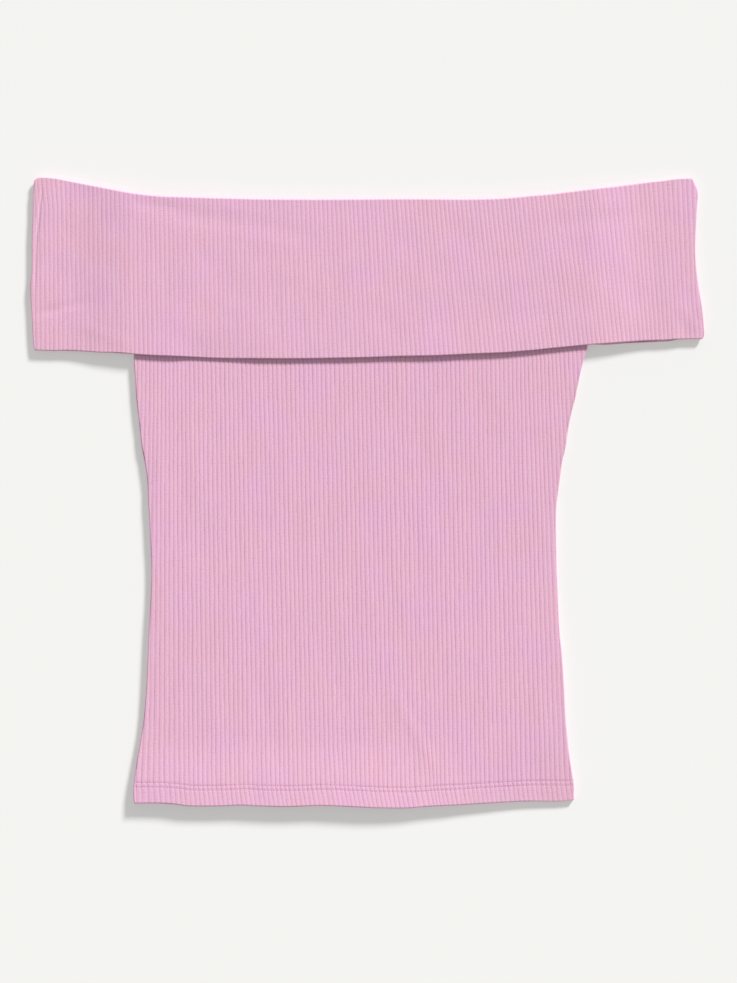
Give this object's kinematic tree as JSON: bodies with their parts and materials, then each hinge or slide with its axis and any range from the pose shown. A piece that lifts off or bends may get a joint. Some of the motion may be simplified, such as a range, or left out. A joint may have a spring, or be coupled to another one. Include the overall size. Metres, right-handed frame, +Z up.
{
  "type": "off-shoulder top",
  "caption": "Rib-knit off-shoulder top with a wide fold-over band round chest and arms, laid flat.",
  "frame": {"origin": "middle of the garment's outline, on the surface it lies on", "axes": "+X across the garment towards the picture's right, +Y towards the neck, +Z up, out of the front"},
  "size_m": [0.5794, 0.5414, 0.0086],
  "materials": {
    "rib_knit": "matt fine rib knit, candy pink"
  },
  "bodies": {
    "root": {"body_front": "rib_knit", "body_back": "rib_knit", "band_front": "rib_knit", "band_back": "rib_knit"}
  },
  "joints": []
}
